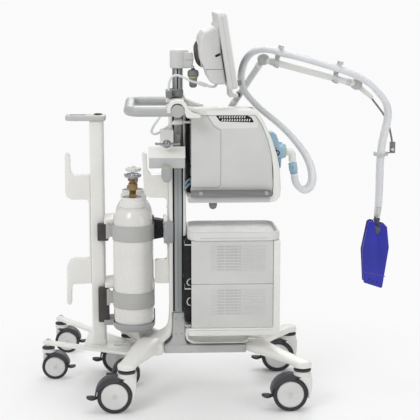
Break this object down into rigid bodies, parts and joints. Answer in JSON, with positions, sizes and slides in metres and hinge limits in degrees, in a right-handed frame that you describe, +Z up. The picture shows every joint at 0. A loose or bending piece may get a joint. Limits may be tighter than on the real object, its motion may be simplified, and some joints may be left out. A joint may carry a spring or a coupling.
{
  "type": "mechanical ventilator",
  "caption": "Intensive-care ventilator on a caster trolley, with tilting display, hinged hose arm with test lung, and a docked gas-cylinder cart.",
  "frame": {"origin": "bottom centre of the whole object's box, on the floor", "axes": "+Z up, +X from the push handle towards the display and front fascia, -Y the near side with the rail clamp"},
  "size_m": [1.363, 0.836, 1.4151],
  "materials": {
    "white_coat": "satin powder coat",
    "grey_panel": "fine satin moulded panel",
    "grey_casting": "satin",
    "aluminium": "satin anodised",
    "rail_steel": "brushed",
    "chrome_parts": "polished",
    "dark_knob": "satin",
    "caster_hood": "satin",
    "wheel": "matt grey tread",
    "pale_blue": "gloss",
    "hose": "milky translucent",
    "lung_rubber": "matt",
    "display_glass": "coated",
    "strap": "woven webbing",
    "white_enamel": "gloss enamel",
    "white_plastic": "satin moulded"
  },
  "bodies": {
    "trolley": {"base_beam": "grey_casting", "front_leg_casting": "white_coat", "rear_leg_casting": "white_coat", "main_column": "aluminium", "push_handle": "grey_panel", "vent_unit_housing": "grey_panel", "vent_unit_fascia": "white_plastic", "side_rail_near": "rail_steel", "side_rail_far": "rail_steel", "expiratory_valve": "pale_blue", "gas_supply_unit": "grey_panel", "power_supply_unit": "grey_panel", "supply_fascia": "white_plastic", "storage_tray": "white_plastic", "trolley_hose_hooks": "white_coat", "rail_clamp_block": "white_coat", "arm_clamp": "grey_casting", "hose_loop": "hose"},
    "unit_lock": {"unit_lock_knob": "dark_knob"},
    "clamp_screw": {"clamp_tommy_bar": "chrome_parts"},
    "clamp_release": {"clamp_knob": "dark_knob"},
    "monitor_head": {"monitor_swivel_head": "grey_panel"},
    "head_lock": {"head_lock_knob": "dark_knob"},
    "display": {"display_housing": "white_plastic", "display_bezel": "white_plastic", "display_screen": "display_glass"},
    "display_knob": {"display_rotary_knob": "dark_knob"},
    "arm_lower": {"arm_lower_tube": "white_plastic"},
    "arm_upper": {"arm_upper_tube": "white_plastic", "hose_drop": "hose"},
    "arm_end": {"arm_end_rod": "chrome_parts"},
    "lung": {"test_lung": "lung_rubber"},
    "cart": {"cart_base": "white_coat", "cart_column": "white_coat", "cart_handle": "grey_panel", "cart_hose_hooks": "white_coat", "cylinder_near": "white_enamel", "cylinder_far": "white_enamel", "strap_upper": "strap", "strap_lower": "strap"},
    "cart_button": {"cart_release_button": "dark_knob"},
    "valve_wheel": {"handwheel_near": "chrome_parts"},
    "trolley_front_near_caster": {"trolley_front_near_fork": "caster_hood"},
    "trolley_front_near_wheelset": {"trolley_front_near_wheels": "wheel"},
    "trolley_front_near_brake": {"trolley_front_near_pedal": "caster_hood"},
    "trolley_front_far_caster": {"trolley_front_far_fork": "caster_hood"},
    "trolley_front_far_wheelset": {"trolley_front_far_wheels": "wheel"},
    "trolley_front_far_brake": {"trolley_front_far_pedal": "caster_hood"},
    "trolley_rear_near_caster": {"trolley_rear_near_fork": "caster_hood"},
    "trolley_rear_near_wheelset": {"trolley_rear_near_wheels": "wheel"},
    "trolley_rear_near_brake": {"trolley_rear_near_pedal": "caster_hood"},
    "trolley_rear_far_caster": {"trolley_rear_far_fork": "caster_hood"},
    "trolley_rear_far_wheelset": {"trolley_rear_far_wheels": "wheel"},
    "trolley_rear_far_brake": {"trolley_rear_far_pedal": "caster_hood"},
    "cart_rear_near_caster": {"cart_rear_near_fork": "white_plastic"},
    "cart_rear_near_wheelset": {"cart_rear_near_wheels": "wheel"},
    "cart_rear_far_caster": {"cart_rear_far_fork": "white_plastic"},
    "cart_rear_far_wheelset": {"cart_rear_far_wheels": "wheel"},
    "cart_front_caster": {"cart_front_fork": "white_plastic"},
    "cart_front_wheelset": {"cart_front_wheels": "wheel"}
  },
  "joints": [
    {"name": "trolley_front_near_swivel", "type": "hinge", "parent": "trolley", "child": "trolley_front_near_caster", "pos_m": [0.2835, -0.382, 0.1562], "axis": [0, 0, 1], "continuous": true},
    {"name": "trolley_front_near_spin", "type": "hinge", "parent": "trolley_front_near_caster", "child": "trolley_front_near_wheelset", "pos_m": [0.2395, -0.382, 0.0625], "axis": [0, 1, 0], "continuous": true},
    {"name": "trolley_front_near_brake_press", "type": "hinge", "parent": "trolley_front_near_caster", "child": "trolley_front_near_brake", "pos_m": [0.2395, -0.382, 0.0625], "axis": [0, -1, 0], "range_deg": [0, 12], "stiffness_Nm_per_rad": 0.5},
    {"name": "trolley_front_far_swivel", "type": "hinge", "parent": "trolley", "child": "trolley_front_far_caster", "pos_m": [0.2835, 0.102, 0.1562], "axis": [0, 0, 1], "continuous": true},
    {"name": "trolley_front_far_spin", "type": "hinge", "parent": "trolley_front_far_caster", "child": "trolley_front_far_wheelset", "pos_m": [0.2395, 0.102, 0.0625], "axis": [0, 1, 0], "continuous": true},
    {"name": "trolley_front_far_brake_press", "type": "hinge", "parent": "trolley_front_far_caster", "child": "trolley_front_far_brake", "pos_m": [0.2395, 0.102, 0.0625], "axis": [0, -1, 0], "range_deg": [0, 12], "stiffness_Nm_per_rad": 0.5},
    {"name": "trolley_rear_near_swivel", "type": "hinge", "parent": "trolley", "child": "trolley_rear_near_caster", "pos_m": [-0.3455, -0.382, 0.1562], "axis": [0, 0, 1], "continuous": true},
    {"name": "trolley_rear_near_spin", "type": "hinge", "parent": "trolley_rear_near_caster", "child": "trolley_rear_near_wheelset", "pos_m": [-0.3895, -0.382, 0.0625], "axis": [0, 1, 0], "continuous": true},
    {"name": "trolley_rear_near_brake_press", "type": "hinge", "parent": "trolley_rear_near_caster", "child": "trolley_rear_near_brake", "pos_m": [-0.3895, -0.382, 0.0625], "axis": [0, -1, 0], "range_deg": [0, 12], "stiffness_Nm_per_rad": 0.5},
    {"name": "trolley_rear_far_swivel", "type": "hinge", "parent": "trolley", "child": "trolley_rear_far_caster", "pos_m": [-0.3455, 0.102, 0.1562], "axis": [0, 0, 1], "continuous": true},
    {"name": "trolley_rear_far_spin", "type": "hinge", "parent": "trolley_rear_far_caster", "child": "trolley_rear_far_wheelset", "pos_m": [-0.3895, 0.102, 0.0625], "axis": [0, 1, 0], "continuous": true},
    {"name": "trolley_rear_far_brake_press", "type": "hinge", "parent": "trolley_rear_far_caster", "child": "trolley_rear_far_brake", "pos_m": [-0.3895, 0.102, 0.0625], "axis": [0, -1, 0], "range_deg": [0, 12], "stiffness_Nm_per_rad": 0.5},
    {"name": "cart_rear_near_swivel", "type": "hinge", "parent": "cart", "child": "cart_rear_near_caster", "pos_m": [-0.6565, 0.032, 0.1297], "axis": [0, 0, 1], "continuous": true},
    {"name": "cart_rear_near_spin", "type": "hinge", "parent": "cart_rear_near_caster", "child": "cart_rear_near_wheelset", "pos_m": [-0.6315, 0.032, 0.05], "axis": [0, 1, 0], "continuous": true},
    {"name": "cart_rear_far_swivel", "type": "hinge", "parent": "cart", "child": "cart_rear_far_caster", "pos_m": [-0.6325, 0.393, 0.1297], "axis": [0, 0, 1], "continuous": true},
    {"name": "cart_rear_far_spin", "type": "hinge", "parent": "cart_rear_far_caster", "child": "cart_rear_far_wheelset", "pos_m": [-0.6075, 0.393, 0.05], "axis": [0, 1, 0], "continuous": true},
    {"name": "cart_front_swivel", "type": "hinge", "parent": "cart", "child": "cart_front_caster", "pos_m": [-0.3265, -0.085, 0.1297], "axis": [0, 0, 1], "continuous": true},
    {"name": "cart_front_spin", "type": "hinge", "parent": "cart_front_caster", "child": "cart_front_wheelset", "pos_m": [-0.3515, -0.085, 0.05], "axis": [0, 1, 0], "continuous": true},
    {"name": "cart_dock", "type": "slide", "parent": "trolley", "child": "cart", "axis": [-1, 0, 0], "range_m": [0, 0.35]},
    {"name": "cart_button_press", "type": "slide", "parent": "cart", "child": "cart_button", "axis": [0, 0, -1], "range_m": [0, 0.003], "stiffness_N_per_m": 400},
    {"name": "handwheel_turn", "type": "hinge", "parent": "cart", "child": "valve_wheel", "pos_m": [-0.3215, -0.12, 0.8085], "axis": [0, 0, 1], "range_deg": [0, 630]},
    {"name": "unit_lock_turn", "type": "hinge", "parent": "trolley", "child": "unit_lock", "pos_m": [-0.0335, -0.24, 0.729], "axis": [0, 0, 1], "range_deg": [0, 90]},
    {"name": "clamp_bar_turn", "type": "hinge", "parent": "trolley", "child": "clamp_screw", "pos_m": [-0.1975, -0.312, 0.957], "axis": [0, 1, 0], "range_deg": [0, 450]},
    {"name": "clamp_knob_turn", "type": "hinge", "parent": "trolley", "child": "clamp_release", "pos_m": [-0.199, -0.324, 0.876], "axis": [0, 1, 0], "range_deg": [0, 45]},
    {"name": "monitor_swivel", "type": "hinge", "parent": "trolley", "child": "monitor_head", "pos_m": [-0.1555, -0.14, 1.212], "axis": [0, 0, 1], "range_deg": [-45, 45]},
    {"name": "head_lock_turn", "type": "hinge", "parent": "monitor_head", "child": "head_lock", "pos_m": [-0.0985, -0.14, 1.17], "axis": [0, 0, 1], "range_deg": [0, 120]},
    {"name": "display_tilt", "type": "hinge", "parent": "monitor_head", "child": "display", "pos_m": [-0.1115, -0.14, 1.25], "axis": [0, 1, 0], "range_deg": [-8, 9]},
    {"name": "display_knob_turn", "type": "hinge", "parent": "display", "child": "display_knob", "pos_m": [0.05867, -0.29, 1.16809], "axis": [0.9877, 0, 0.1561], "continuous": true},
    {"name": "arm_swivel", "type": "hinge", "parent": "trolley", "child": "arm_lower", "pos_m": [0.0415, 0.0545, 1.0205], "axis": [0, 0, 1], "range_deg": [-40, 40], "deforming": ["hose_loop"]},
    {"name": "arm_elbow", "type": "hinge", "parent": "arm_lower", "child": "arm_upper", "pos_m": [0.1725, 0.0355, 1.232], "axis": [0, 1, 0], "range_deg": [-12, 12]},
    {"name": "arm_wrist", "type": "hinge", "parent": "arm_upper", "child": "arm_end", "pos_m": [0.5265, 0.0545, 1.138], "axis": [0, -1, 0], "range_deg": [-15, 15], "deforming": ["hose_drop"]},
    {"name": "lung_swing", "type": "hinge", "parent": "arm_end", "child": "lung", "pos_m": [0.6105, 0.01, 0.635], "axis": [0, 1, 0], "range_deg": [-20, 20]}
  ]
}
